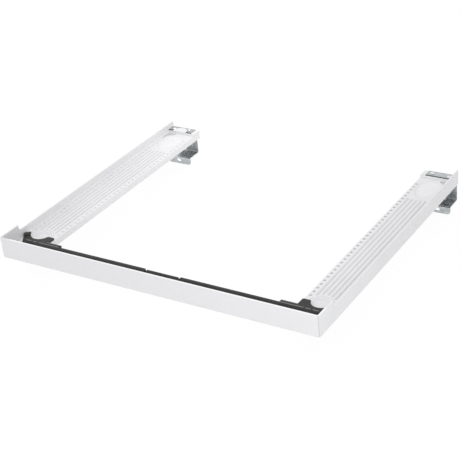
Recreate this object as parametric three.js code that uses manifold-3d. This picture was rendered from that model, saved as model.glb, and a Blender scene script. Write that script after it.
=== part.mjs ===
// Washer dryer stacking kit: two moulded side rails, a front panel with cheeks, a foot retainer
// behind the panel and a bent steel bracket at the back of each rail.
// Millimetres. While the pieces are shaped, X is zero on the centre line, Y is zero on the panel's
// front face and Z is zero on the washer's worktop. The right-hand pieces are drawn, and the left
// ones are their mirror images. The finished group moves the origin to the middle of the panel's
// underside.
import * as THREE from "three";
import { mergeVertices } from "three/addons/utils/BufferGeometryUtils.js";
import Module from "manifold-3d";

const wasm = await Module();
wasm.setup();

// Whole kit
const kitWidth = 597;
const kitDepth = 520;

// Clearances
const seatGap = 0.2; // between faces that rest on each other
const sideGap = 0.3; // beside a piece that slips in
const holeGap = 0.3; // round a screw or a peg, on the radius
const overrun = 1; // how far a cutter runs past what it cuts

// Front panel
const panelHeight = 37;
const panelWall = 3;
const panelCornerRadius = 4;
const cheekDepth = 46;
const flangeDepth = 38;
const flangeThickness = 2;

// Side rail: the shell
const railWidth = 62.4;
const railOuterWall = 2.5;
const railSideWall = 2;
const railEndWall = 2.4;
const railWallHeight = 26.5;
const wallSweepRadius = 7; // the outer wall's top sweeps up to the cheek
const deckHeight = 12;
const deckThickness = 3;
const ribThickness = 1.6;
const ribDepth = 5;
const dotsPerRib = 4; // dimples between two cross ribs

// Side rail: what the deck carries
const footInset = 29.9; // foot centre from the rail's inner side
const frontFootY = 66.5;
const footRadius = 20.8;
const footStepWidth = 3.6;
const footStepDepth = 0.8;
const footSteps = 3;
const dishRadius = 21.5;
const dishTaper = 44; // length of the dish's tapered front half
const dishMargin = 28; // dish's back end from the rail's back end
const dishDepth = 2.4;
const dishSlope = 4;
const dishBacking = 1.6; // extra thickness under a recess
const backingRim = 2;
const grooveCount = 5;
const groovePitch = 8;
const grooveWidth = 4.2;
const grooveDepth = 1.6;
const grooveLead = 2; // plain deck between the foot recess and the grooves
const grooveTail = 6; // plain deck between the grooves and the dish
const dotLead = 14.5; // first dimple behind the foot centre
const dotTail = 19.5; // last dimple in front of the dish's back end
const dotPitch = 11.5;
const dotRadius = 2.4;
const dotDepth = 1.8;
const dotInnerInset = 5.7; // from the rail's inner side
const dotOuterInset = 4.6; // from the outer wall
const landLength = 21; // raised back end that carries the bracket
const landHeight = 14;
const landLipHeight = 15.8;
const landLipWidth = 2.2;
const landShoulder = 8.2; // the land beside the bracket, from the rail's inner side
const pocketWidth = 18; // sunk corner between the dish, the land and the outer wall
const pocketDepth = 1.8;
const pocketMargin = 2;
const tongueRadius = 14.5; // half-round tongue over the left bracket's top plate
const tongueThickness = 1.4;
const tongueOffset = 3.5; // outward of the foot centre
const bossRadius = 3.6;
const bossFoot = 2.4; // how far a boss stays above the worktop

// Adhesive pads and their seats under the rail
const padThickness = 1.2;
const padLength = 60;
const padSideMargin = 3.5;
const padSeatThickness = 2;
const padSeatRim = 1.5;
const frontPadY = 52;
const rearPadMargin = 40; // pad's back end from the rail's back end

// Foot retainer
const stripDepth = 41.5; // back edge of the strip from the panel's front face
const stripHeight = 16.2;
const stripWall = 2;
const stripRibPitch = 42;
const shelfHeight = 15; // top of the plate behind the strip
const shelfDepth = 48.5;
const shelfLead = 27.6; // how far inside the rail's inner side the plate starts
const cornerSetback = 16.4; // strip's outer end from the cheek
const cornerCutY = 30;
const hornSideY = 55;
const hornTipY = 65;
const hornWallGap = 0.6;
const hornFillet = 3;
const hornCorner = 2.6; // a horn's tip is flat between two rounded corners
const crescentRadius = 17.3; // it reaches over the outer step of the foot recess
const crescentOutset = 2; // crescent's centre outward of the foot recess's
const crescentSetback = 1.3; // and behind it
const hornFlare = Math.PI / 4; // where the outer horn's side leaves the crescent's curve
const joinerHalfLength = 30;
const joinerDrop = 0.5; // the joiner lies this much lower than the strip
const joinerSetback = 1; // and this much further forward
const sleeveLength = 12;
const sleeveWall = 1.8;
const notchWidth = 3;
const notchDepth = 4;
const markWidth = 1.6; // two small slots in the strip's back edge
const markDepth = 2;
const markSpacing = 12.6;
const markInset = 16.2; // from the rail's inner side
const markDrop = 2;
const pegRadius = 2.6;
const pegDepth = 4;
const pegY = 32;

// Rear bracket
const sheet = 2;
const bendRadius = 1.5; // inside the bend
const bracketWidth = 51.1;
const bracketInset = 8.5; // bracket's inner edge from the rail's inner side
const plateLip = 2; // open slit between the land's lip and the bracket's top plate
const hookDrop = 32; // worktop that the hook goes under
const hookReach = 29.7; // tab's front face in front of the rail's back end
const tabDrop = 47.2;
const tabCornerRadius = 6;
const slotLength = 10;
const slotWidth = 6.6;
const slotOffset = 1; // slot's centre outward of the bracket's middle
const slotDrop = 40.2;
const reliefRadius = 2.2;
const reliefDrop = 28.5;
const reliefOffset = 3.6;
const beadCount = 3;
const beadPitch = 14.4;
const beadWidth = 7;
const beadDepth = 1.4;
const beadFlank = 1.6;
const beadTopDrop = 7; // bead's top end under the plate
const beadFootRise = 8; // bead's lower end over the hook

// Screws
const shankRadius = 1.5;
const panHeadRadius = 3.3;
const panHeadHeight = 2;
const panHeadEdge = 0.9;
const bracketScrewLength = 9;
const sunkHeadRadius = 3.1;
const sunkHeadHeight = 1.6;
const panelScrewLength = 8;
const tipLength = 1.6;
const driveWidth = 0.8;
const driveSpan = 3.4;
const driveDepth = 1;
const panelScrewY = 15;
const innerFixing = 12.2; // screws and pegs at the front, from the rail's inner side
const outerFixing = 32.2;
const bracketScrewInnerX = 10; // from the bracket's inner edge
const bracketScrewOuterX = 41.9;
const bracketScrewInnerY = 7.5; // from the rail's back end
const bracketScrewOuterY = 11.5;

// Steps in a round shape
const circleSteps = 40;
const smallCircleSteps = 16;
const dotSides = 8;
const quarterSteps = 4;

// Places that follow from the sizes
const outerX = kitWidth / 2;
const cheekX = outerX - panelWall;
const railX = outerX - railWidth;
const trayX = outerX - railOuterWall;
const noseX = cheekX - sideGap;
const railFrontY = panelWall + sideGap;
const railWallY = cheekDepth + sideGap;
const deckUnder = deckHeight - deckThickness;
const flangeTop = flangeThickness + seatGap;
const footX = railX + footInset;
const dishCentreY = kitDepth - dishMargin - dishRadius;
const grooveEndY = dishCentreY - dishTaper - grooveTail;
const dotFirstY = frontFootY + dotLead;
const dotLastY = kitDepth - dishMargin - dotTail;
const dotSteps = Math.max(1, Math.round((dotLastY - dotFirstY) / dotPitch));
const dotStep = (dotLastY - dotFirstY) / dotSteps;
const landY = kitDepth - landLength;
const bracketX = railX + bracketInset;
const bracketEndX = bracketX + bracketWidth;
const plateUnder = landHeight + seatGap;
const plateTop = plateUnder + sheet;
const retainerFrontY = panelWall + sideGap;
const shelfUnder = deckHeight + seatGap;
const stripEndX = cheekX - cornerSetback;
const bracketScrews = {
  inner: [bracketX + bracketScrewInnerX, kitDepth - bracketScrewInnerY],
  outer: [bracketX + bracketScrewOuterX, kitDepth - bracketScrewOuterY],
};
const panelScrews = {
  inner: [railX + innerFixing, panelScrewY],
  outer: [railX + outerFixing, panelScrewY],
};
const pegs = [
  [railX + innerFixing, pegY],
  [railX + outerFixing, pegY],
];
const padFronts = {
  front: frontPadY,
  rear: kitDepth - rearPadMargin - padLength,
};

// Finishes
const whiteMoulding = { color: 0xe6e7ea, roughness: 0.45, metalness: 0 };
const whitePanel = { color: 0xebebee, roughness: 0.38, metalness: 0 };
const blackMoulding = { color: 0x2b2c2a, roughness: 0.55, metalness: 0 };
const galvanised = { color: 0x9aa3a6, roughness: 0.42, metalness: 0.85 };
const brightZinc = { color: 0xc9ced2, roughness: 0.28, metalness: 0.9 };
const padFoam = { color: 0x4a4c50, roughness: 0.95, metalness: 0 };

// Solids from three.js geometry

function solid(geometry) {
  geometry.deleteAttribute("normal");
  geometry.deleteAttribute("uv");
  const merged = mergeVertices(geometry);
  const mesh = new wasm.Mesh({
    numProp: 3,
    vertProperties: merged.getAttribute("position").array,
    triVerts: new Uint32Array(merged.index.array),
  });
  return new wasm.Manifold(mesh);
}

function joined(solids) {
  return solids.reduce((whole, piece) => whole.add(piece));
}

function box([x0, x1], [y0, y1], [z0, z1]) {
  const geometry = new THREE.BoxGeometry(x1 - x0, y1 - y0, z1 - z0);
  geometry.translate((x0 + x1) / 2, (y0 + y1) / 2, (z0 + z1) / 2);
  return solid(geometry);
}

function extruded(points, length, options = {}) {
  const shape = new THREE.Shape(points.map(([u, v]) => new THREE.Vector2(u, v)));
  return new THREE.ExtrudeGeometry(shape, { depth: length, bevelEnabled: false, ...options });
}

// An outline in X and Y, raised along Z.
function alongZ(points, [z0, z1]) {
  return solid(extruded(points, z1 - z0).translate(0, 0, z0));
}

// An outline in Y and Z, carried along X.
function alongX(points, [x0, x1]) {
  const geometry = extruded(points, x1 - x0);
  const turn = new THREE.Matrix4().makeBasis(
    new THREE.Vector3(0, 1, 0),
    new THREE.Vector3(0, 0, 1),
    new THREE.Vector3(1, 0, 0),
  );
  return solid(geometry.applyMatrix4(turn).translate(x0, 0, 0));
}

// An outline in X and Z, carried along Y.
function alongY(points, [y0, y1]) {
  const geometry = extruded(points, y1 - y0);
  return solid(geometry.rotateX(Math.PI / 2).translate(0, y1, 0));
}

// Points on an arc, from one angle to another.
function arc([x, y], radius, from, to, steps) {
  const points = [];
  for (let i = 0; i <= steps; i += 1) {
    const angle = from + ((to - from) * i) / steps;
    points.push([x + radius * Math.cos(angle), y + radius * Math.sin(angle)]);
  }
  return points;
}

function circle(centre, radius, steps) {
  return arc(centre, radius, 0, 2 * Math.PI, steps).slice(0, steps);
}

// A slot with round ends along Y, as an outline in X and Y.
function slotOutline(x, [y0, y1], radius) {
  return [
    ...arc([x, y0 + radius], radius, Math.PI, 2 * Math.PI, 2 * quarterSteps),
    ...arc([x, y1 - radius], radius, 0, Math.PI, 2 * quarterSteps),
  ];
}

// A bent sheet seen from its edge: a line through the middle of the sheet, thickened to both sides.
function bentSheetOutline(corners, thickness, insideRadius) {
  const radius = insideRadius + thickness / 2;
  const middle = [];
  const add = (point, direction) => middle.push([point.clone(), direction.clone()]);
  const points = corners.map(([u, v]) => new THREE.Vector2(u, v));
  for (let i = 0; i < points.length; i += 1) {
    const before = i > 0 ? points[i].clone().sub(points[i - 1]).normalize() : null;
    const after = i + 1 < points.length ? points[i + 1].clone().sub(points[i]).normalize() : null;
    if (!before || !after) {
      add(points[i], before || after);
      continue;
    }
    const turn = Math.atan2(before.cross(after), before.dot(after));
    const tangent = radius * Math.tan(Math.abs(turn) / 2);
    const start = points[i].clone().addScaledVector(before, -tangent);
    const side = new THREE.Vector2(-before.y, before.x).multiplyScalar(Math.sign(turn));
    const centre = start.clone().addScaledVector(side, radius);
    for (let k = 0; k <= quarterSteps; k += 1) {
      const angle = (turn * k) / quarterSteps;
      const direction = before.clone().rotateAround(new THREE.Vector2(), angle);
      const arm = side.clone().negate().rotateAround(new THREE.Vector2(), angle);
      add(centre.clone().addScaledVector(arm, radius), direction);
    }
  }
  const edge = (way) =>
    middle.map(([point, along]) => [
      point.x - (along.y * way * thickness) / 2,
      point.y + (along.x * way * thickness) / 2,
    ]);
  return [...edge(-1), ...edge(1).reverse()];
}

// Front panel

function panelOutline() {
  const outer = panelCornerRadius;
  const inner = panelCornerRadius - panelWall;
  const right = [
    ...arc([outerX - outer, outer], outer, -Math.PI / 2, 0, quarterSteps),
    [outerX, cheekDepth],
    [cheekX, cheekDepth],
    ...arc([cheekX - inner, panelWall + inner], inner, 0, -Math.PI / 2, quarterSteps),
  ];
  const left = right.map(([x, y]) => [-x, y]).reverse();
  return [...right, ...left];
}

function sunkHole([x, y]) {
  const profile = [
    [0, -overrun],
    [sunkHeadRadius + holeGap, -overrun],
    [sunkHeadRadius + holeGap, 0],
    [shankRadius + holeGap, sunkHeadHeight],
    [shankRadius + holeGap, flangeThickness + overrun],
    [0, flangeThickness + overrun],
  ];
  return turned(profile).translate([x, y, 0]);
}

function makePanel() {
  const walls = alongZ(panelOutline(), [0, panelHeight]);
  const inside = outerX - panelWall / 2;
  const flange = box([-inside, inside], [panelWall / 2, flangeDepth], [0, flangeThickness]);
  const holes = Object.values(panelScrews).flatMap(([x, y]) => [
    sunkHole([x, y]),
    sunkHole([-x, y]),
  ]);
  return walls.add(flange).subtract(joined(holes));
}

// A closed profile of radius and height, turned round Z.
function turned(profile) {
  const points = profile.map(([r, z]) => new THREE.Vector2(r, z));
  return solid(new THREE.LatheGeometry(points, smallCircleSteps).rotateX(Math.PI / 2));
}

// Side rail

function railShell() {
  const plan = [
    [railX, railFrontY],
    [noseX, railFrontY],
    [noseX, railWallY],
    [outerX, railWallY],
    [outerX, kitDepth],
    [railX, kitDepth],
  ];
  const hollow = [
    [railX + railSideWall, railFrontY + railEndWall],
    [noseX - railSideWall, railFrontY + railEndWall],
    [noseX - railSideWall, railWallY + railSideWall],
    [trayX, railWallY + railSideWall],
    [trayX, kitDepth - railEndWall],
    [railX + railSideWall, kitDepth - railEndWall],
  ];
  return alongZ(plan, [0, deckHeight]).subtract(alongZ(hollow, [-overrun, deckUnder]));
}

// The outer wall above the deck, swept up at its front end.
function railOuterRim() {
  const sweepCentre = [railWallY + wallSweepRadius, railWallHeight + wallSweepRadius];
  const side = [
    [railWallY, deckUnder],
    [kitDepth, deckUnder],
    [kitDepth, railWallHeight],
    ...arc(sweepCentre, wallSweepRadius, -Math.PI / 2, -Math.PI, quarterSteps),
  ];
  return alongX(side, [trayX, outerX]);
}

function railRibs() {
  const z = [deckUnder - ribDepth, deckUnder + deckThickness / 2];
  const across = [railX + railSideWall / 2, trayX + railOuterWall / 2];
  const ribs = [];
  const reach = dotStep * dotsPerRib;
  for (let y = dotFirstY - dotStep / 2; y < dotLastY; y += reach) {
    ribs.push(box(across, [y - ribThickness / 2, y + ribThickness / 2], z));
  }
  for (const x of [footX - groovePitch, footX + groovePitch]) {
    const long = [railFrontY + railEndWall / 2, kitDepth - railEndWall / 2];
    ribs.push(box([x - ribThickness / 2, x + ribThickness / 2], long, z));
  }
  return ribs;
}

function dishOutline(margin) {
  const radius = dishRadius + margin;
  const taper = dishTaper + margin;
  const front = arc([0, 0], 1, Math.PI, 2 * Math.PI, circleSteps / 2);
  return [
    ...front.map(([u, v]) => [footX + u * radius, dishCentreY + v * taper]),
    ...arc([footX, dishCentreY], radius, 0, Math.PI, circleSteps / 2).slice(1, -1),
  ];
}

// Thicker deck under the foot recess and the dish, and the seats of the adhesive pads.
function railBackings() {
  const z = [deckUnder - dishBacking, deckUnder + deckThickness / 2];
  const foot = circle([footX, frontFootY], footRadius + backingRim, circleSteps);
  const seatZ = [padThickness + seatGap, padThickness + seatGap + padSeatThickness];
  const seatX = [railX + railSideWall / 2, trayX + railOuterWall / 2];
  const seats = Object.values(padFronts).map((y) =>
    box(seatX, [y - padSeatRim, y + padLength + padSeatRim], seatZ),
  );
  return [alongZ(foot, z), alongZ(dishOutline(backingRim), z), ...seats];
}

function railBosses() {
  const boss = (centre, foot) =>
    alongZ(circle(centre, bossRadius, smallCircleSteps), [foot, deckUnder + deckThickness / 2]);
  return [
    ...Object.values(bracketScrews).map((centre) => boss(centre, bossFoot)),
    ...Object.values(panelScrews).map((centre) => boss(centre, flangeTop)),
  ];
}

function railLand() {
  const across = [railX, trayX + railOuterWall / 2];
  const block = box(across, [landY, kitDepth], [deckUnder, landLipHeight]);
  const pocket = box(
    [railX + landShoulder, trayX],
    [landY + landLipWidth, kitDepth + overrun],
    [landHeight, landLipHeight + overrun],
  );
  const slit = box(
    [bracketX, trayX],
    [landY + landLipWidth, landY + landLipWidth + plateLip],
    [-overrun, landLipHeight + overrun],
  );
  const edge = [
    [kitDepth - bendRadius, landHeight + overrun],
    [kitDepth - bendRadius, landHeight],
    [kitDepth, landHeight - bendRadius],
    [kitDepth + overrun, landHeight - bendRadius],
    [kitDepth + overrun, landHeight + overrun],
  ];
  const chamfer = alongX(edge, [railX + landShoulder, trayX]);
  return { block, cuts: [pocket, slit, chamfer] };
}

// A half-round tongue from the land's lip over the bracket's top plate.
function railTongue() {
  const x = footX + tongueOffset;
  const back = landY + landLipWidth;
  const z = [plateTop + seatGap, plateTop + seatGap + tongueThickness];
  const tongue = arc([x, back], tongueRadius, 0, Math.PI, circleSteps / 2);
  const root = box([x - tongueRadius, x + tongueRadius], [landY, back], [deckUnder, z[1]]);
  return alongZ(tongue, z).add(root);
}

function railPocket() {
  const z = [deckHeight - pocketDepth, deckHeight + overrun];
  const end = trayX - pocketMargin;
  const front = dotLastY + dotRadius + pocketMargin;
  const corner = box([end - pocketWidth, end], [front, landY - pocketMargin], z);
  const round = circle([footX, dishCentreY], dishRadius + pocketMargin, circleSteps);
  return corner.subtract(alongZ(round, [z[0] - overrun, z[1] + overrun]));
}

function railRecesses() {
  const cuts = [];
  for (let i = 0; i < footSteps; i += 1) {
    const ring = circle([footX, frontFootY], footRadius - i * footStepWidth, circleSteps);
    cuts.push(alongZ(ring, [deckHeight - (i + 1) * footStepDepth, deckHeight + overrun]));
  }
  const sloped = { bevelEnabled: true, bevelSegments: 1, bevelThickness: dishDepth };
  const dish = extruded(dishOutline(0), overrun, {
    ...sloped,
    bevelSize: dishSlope,
    bevelOffset: -dishSlope,
  });
  cuts.push(solid(dish.translate(0, 0, deckHeight)));
  for (let i = 0; i < grooveCount; i += 1) {
    const across = (i - (grooveCount - 1) / 2) * groovePitch;
    const start = frontFootY + Math.sqrt((footRadius + grooveLead) ** 2 - across ** 2);
    const groove = slotOutline(footX + across, [start, grooveEndY], grooveWidth / 2);
    cuts.push(alongZ(groove, [deckHeight - grooveDepth, deckHeight + overrun]));
  }
  return cuts;
}

// A row of blind round dimples along each side of the deck.
function railDimples() {
  const z = [deckHeight - dotDepth, deckHeight + overrun];
  const dimples = [];
  for (const x of [railX + dotInnerInset, trayX - dotOuterInset]) {
    for (let i = 0; i <= dotSteps; i += 1) {
      dimples.push(alongZ(circle([x, dotFirstY + i * dotStep], dotRadius, dotSides), z));
    }
  }
  return dimples;
}

function railHoles() {
  const z = [deckUnder - overrun, deckHeight + overrun];
  const holes = [];
  const shaft = (centre, radius, height) =>
    alongZ(circle(centre, radius, smallCircleSteps), height);
  const pilot = shankRadius + holeGap;
  for (const centre of Object.values(bracketScrews)) {
    const foot = plateTop - bracketScrewLength - holeGap;
    holes.push(shaft(centre, pilot, [foot, landHeight + overrun]));
  }
  for (const centre of Object.values(panelScrews)) {
    holes.push(shaft(centre, pilot, [flangeTop - overrun, panelScrewLength + holeGap]));
  }
  for (const centre of pegs) holes.push(shaft(centre, pegRadius + holeGap, z));
  return holes;
}

function makeRail(withTongue) {
  const land = railLand();
  const overFlange = box(
    [railX - overrun, outerX],
    [0, flangeDepth + sideGap],
    [-overrun, flangeTop],
  );
  const added = [railShell(), railOuterRim(), ...railRibs(), ...railBackings(), land.block];
  const cut = [...railRecesses(), railPocket(), ...railDimples(), ...land.cuts, overFlange];
  const shell = joined(added).subtract(joined(cut));
  const body = withTongue ? shell.add(railTongue()) : shell;
  return body.add(joined(railBosses())).subtract(joined(railHoles()));
}

function makePad(front) {
  const x = [railX + railSideWall + padSideMargin, trayX - padSideMargin];
  return box(x, [front, front + padLength], [0, padThickness]);
}

// Foot retainer

// The plate that lies on the deck, with a horn on each side of the foot and a crescent between.
function retainerOutline() {
  const hornX = trayX - hornWallGap;
  const innerX = railX + hornWallGap;
  const cornerY = hornTipY - hornCorner;
  const centreX = footX + crescentOutset;
  const centreY = frontFootY + crescentSetback;
  const rise = cornerY - centreY;
  const angle = Math.asin(rise / crescentRadius);
  const reach = crescentRadius * Math.cos(angle);
  const clear = crescentRadius + hornCorner + rise * Math.sin(hornFlare);
  const flareX = centreX + clear / Math.cos(hornFlare);
  return [
    [railX, retainerFrontY],
    [stripEndX, retainerFrontY],
    [stripEndX, cornerCutY],
    [hornX, hornSideY],
    ...arc([hornX - hornCorner, cornerY], hornCorner, 0, Math.PI / 2, quarterSteps),
    ...arc([flareX, cornerY], hornCorner, Math.PI / 2, Math.PI - hornFlare, quarterSteps),
    ...arc([centreX, centreY], crescentRadius, -hornFlare, -Math.PI - angle, circleSteps / 2).slice(0, -1),
    ...arc([centreX - reach - hornCorner, cornerY], hornCorner, 0, Math.PI / 2, quarterSteps),
    ...arc([innerX + hornCorner, cornerY], hornCorner, Math.PI / 2, Math.PI, quarterSteps),
    ...arc([innerX - hornFillet, shelfDepth + hornFillet], hornFillet, 0, -Math.PI / 2, quarterSteps),
    [railX - shelfLead, shelfDepth],
    [railX - shelfLead, stripDepth - stripWall],
    [railX, stripDepth - stripWall],
  ];
}

// The strip is a channel, open below, with cross ribs that stand on the panel's flange.
function retainerStrip() {
  const end = railX - sideGap;
  const start = joinerHalfLength + sideGap;
  const outside = box([start, end], [retainerFrontY, stripDepth], [flangeTop, stripHeight]);
  const inside = box(
    [start - overrun, end - stripWall],
    [retainerFrontY + stripWall, stripDepth - stripWall],
    [flangeTop - overrun, stripHeight - stripWall],
  );
  const ribs = [];
  const first = start + sleeveLength + stripRibPitch / 2;
  for (let x = first; x < end - stripWall - ribThickness; x += stripRibPitch) {
    const y = [retainerFrontY + stripWall / 2, stripDepth - stripWall / 2];
    ribs.push(box([x, x + ribThickness], y, [flangeTop, stripHeight - stripWall / 2]));
  }
  const overDeck = box(
    [end - stripWall / 2, stripEndX],
    [retainerFrontY, stripDepth],
    [shelfUnder, stripHeight],
  );
  return joined([outside.subtract(inside), ...ribs, overDeck]);
}

function makeRetainer() {
  const shelf = alongZ(retainerOutline(), [shelfUnder, shelfHeight]);
  const studs = pegs.map((centre) =>
    alongZ(circle(centre, pegRadius, smallCircleSteps), [
      deckUnder - pegDepth + deckThickness,
      shelfUnder + (shelfHeight - shelfUnder) / 2,
    ]),
  );
  const notch = box(
    [joinerHalfLength, joinerHalfLength + sideGap + notchWidth],
    [stripDepth - notchDepth, stripDepth + overrun],
    [flangeTop - overrun, stripHeight + overrun],
  );
  const marks = [0, 1].map((i) => {
    const x = railX + markInset + i * markSpacing;
    return box(
      [x, x + markWidth],
      [stripDepth - markDepth, stripDepth + overrun],
      [stripHeight - markDrop, stripHeight + overrun],
    );
  });
  return joined([shelf, retainerStrip(), ...studs]).subtract(joined([notch, ...marks]));
}

// The middle of the strip, with a hollow sleeve at each end inside the two halves.
function makeJoiner() {
  const top = stripHeight - joinerDrop;
  const back = stripDepth - joinerSetback;
  const body = box(
    [-joinerHalfLength, joinerHalfLength],
    [retainerFrontY, back],
    [flangeTop, top],
  );
  const reach = joinerHalfLength + sleeveLength;
  const front = retainerFrontY + stripWall + sideGap;
  const rear = stripDepth - stripWall - sideGap;
  const roof = stripHeight - stripWall - sideGap;
  const sleeve = box([-reach, reach], [front, rear], [flangeTop, roof]);
  const hollow = box(
    [-reach - overrun, reach + overrun],
    [front + sleeveWall, rear - sleeveWall],
    [flangeTop - overrun, roof - sleeveWall],
  );
  return body.add(sleeve).subtract(hollow);
}

// Rear bracket

function bracketSheet() {
  const middle = sheet / 2;
  const back = kitDepth + sideGap + middle;
  const front = landY + landLipWidth + plateLip;
  const tab = kitDepth - hookReach + middle;
  const corners = [
    [front, plateTop - middle],
    [back, plateTop - middle],
    [back, -hookDrop - middle],
    [tab, -hookDrop - middle],
    [tab, -tabDrop],
  ];
  return alongX(bentSheetOutline(corners, sheet, bendRadius), [bracketX, bracketEndX]);
}

// Seen from the front: square above, with the tab's lower corners rounded.
function bracketFace() {
  const r = tabCornerRadius;
  const top = plateTop + overrun;
  const low = -tabDrop;
  return [
    [bracketX, top],
    ...arc([bracketX + r, low + r], r, Math.PI, Math.PI * 1.5, quarterSteps),
    ...arc([bracketEndX - r, low + r], r, -Math.PI / 2, 0, quarterSteps),
    [bracketEndX, top],
  ];
}

// A pressed bead is proud at the back of the rear plate and hollow at its front.
function beadOutline(x, halfWidth, y) {
  return [
    [x - halfWidth, y - overrun],
    [x + halfWidth, y - overrun],
    [x + halfWidth, y],
    [x + halfWidth - beadFlank, y + beadDepth],
    [x - halfWidth + beadFlank, y + beadDepth],
    [x - halfWidth, y],
  ];
}

function makeBracket() {
  const middleX = bracketX + bracketWidth / 2;
  const z = [beadFootRise - hookDrop, plateUnder - beadTopDrop];
  const plateBack = kitDepth + sideGap + sheet;
  const raised = [];
  const pressed = [];
  for (let i = 0; i < beadCount; i += 1) {
    const x = middleX + (i - (beadCount - 1) / 2) * beadPitch;
    raised.push(alongZ(beadOutline(x, beadWidth / 2, plateBack), z));
    const inner = [z[0] + sheet / 2, z[1] - sheet / 2];
    pressed.push(alongZ(beadOutline(x, beadWidth / 2 - sheet / 2, plateBack - sheet), inner));
  }
  const slotReach = (slotLength - slotWidth) / 2;
  const slotEnd = (x, from) =>
    arc([x, -slotDrop], slotWidth / 2, from, from + Math.PI, 2 * quarterSteps);
  const slot = [
    ...slotEnd(middleX + slotOffset - slotReach, Math.PI / 2),
    ...slotEnd(middleX + slotOffset + slotReach, -Math.PI / 2),
  ];
  const tabFront = kitDepth - hookReach;
  const relief = circle([middleX + reliefOffset, -reliefDrop], reliefRadius, smallCircleSteps);
  const screwHoleZ = [plateUnder - overrun, plateTop + overrun];
  const screwHoles = Object.values(bracketScrews).map((centre) =>
    alongZ(circle(centre, shankRadius + holeGap, smallCircleSteps), screwHoleZ),
  );
  const besideWall = box(
    [trayX - sideGap, outerX + overrun],
    [landY, kitDepth + sideGap],
    [0, plateTop + overrun],
  );
  const face = alongY(bracketFace(), [tabFront - overrun, plateBack + beadDepth + overrun]);
  return joined([bracketSheet(), ...raised])
    .subtract(joined(pressed))
    .subtract(alongY(slot, [tabFront - overrun, tabFront + sheet + overrun]))
    .subtract(alongY(relief, [plateBack - sheet - overrun, plateBack + overrun]))
    .subtract(joined(screwHoles))
    .subtract(besideWall)
    .intersect(face);
}

// Screws, each drawn with its head's seat at zero

function crossDrive([z0, z1]) {
  const span = [-driveSpan / 2, driveSpan / 2];
  const width = [-driveWidth / 2, driveWidth / 2];
  return box(span, width, [z0, z1]).add(box(width, span, [z0, z1]));
}

function makeBracketScrew() {
  const tip = -(bracketScrewLength - panHeadHeight);
  const profile = [
    [0, tip],
    [shankRadius, tip + tipLength],
    [shankRadius, 0],
    [panHeadRadius, 0],
    [panHeadRadius, panHeadEdge],
    [panHeadRadius - panHeadEdge / 2, (panHeadHeight + panHeadEdge) / 2],
    [panHeadRadius - panHeadHeight / 2, panHeadHeight],
    [0, panHeadHeight],
  ];
  const drive = crossDrive([panHeadHeight - driveDepth, panHeadHeight + overrun]);
  return turned(profile).subtract(drive);
}

function makePanelScrew() {
  const profile = [
    [0, 0],
    [sunkHeadRadius, 0],
    [shankRadius, sunkHeadHeight],
    [shankRadius, panelScrewLength - tipLength],
    [0, panelScrewLength],
  ];
  return turned(profile).subtract(crossDrive([-overrun, driveDepth]));
}

// The assembly

function named(name, piece, finish, place = [0, 0, 0]) {
  const { vertProperties, triVerts } = piece.getMesh();
  const geometry = new THREE.BufferGeometry();
  geometry.setAttribute("position", new THREE.BufferAttribute(vertProperties, 3));
  geometry.setIndex(new THREE.BufferAttribute(triVerts, 1));
  geometry.computeVertexNormals();
  const mesh = new THREE.Mesh(geometry, new THREE.MeshStandardMaterial(finish));
  mesh.name = name;
  mesh.position.set(...place);
  return mesh;
}

const kit = new THREE.Group();
kit.position.y = -flangeDepth / 2;
kit.add(named("front_panel", makePanel(), whitePanel));
kit.add(named("retainer_joiner", makeJoiner(), blackMoulding));

const rails = { left: makeRail(true), right: makeRail(false) };
const retainer = makeRetainer();
const bracket = makeBracket();
const bracketScrew = makeBracketScrew();
const panelScrew = makePanelScrew();

for (const [side, mirror] of [["left", -1], ["right", 1]]) {
  const half = new THREE.Group();
  half.scale.x = mirror;
  half.add(named(`${side}_rail`, rails[side], whiteMoulding));
  half.add(named(`${side}_foot_retainer`, retainer, blackMoulding));
  half.add(named(`${side}_rear_bracket`, bracket, galvanised));
  for (const [place, [x, y]] of Object.entries(bracketScrews)) {
    const seat = [x, y, plateTop + seatGap];
    half.add(named(`${side}_bracket_screw_${place}`, bracketScrew, brightZinc, seat));
  }
  for (const [place, [x, y]] of Object.entries(panelScrews)) {
    half.add(named(`${side}_panel_screw_${place}`, panelScrew, brightZinc, [x, y, 0]));
  }
  for (const [place, front] of Object.entries(padFronts)) {
    half.add(named(`${side}_${place}_pad`, makePad(front), padFoam));
  }
  kit.add(half);
}

export default kit;
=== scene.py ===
import math

import bmesh
import bpy
from mathutils import Matrix, Vector


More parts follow.
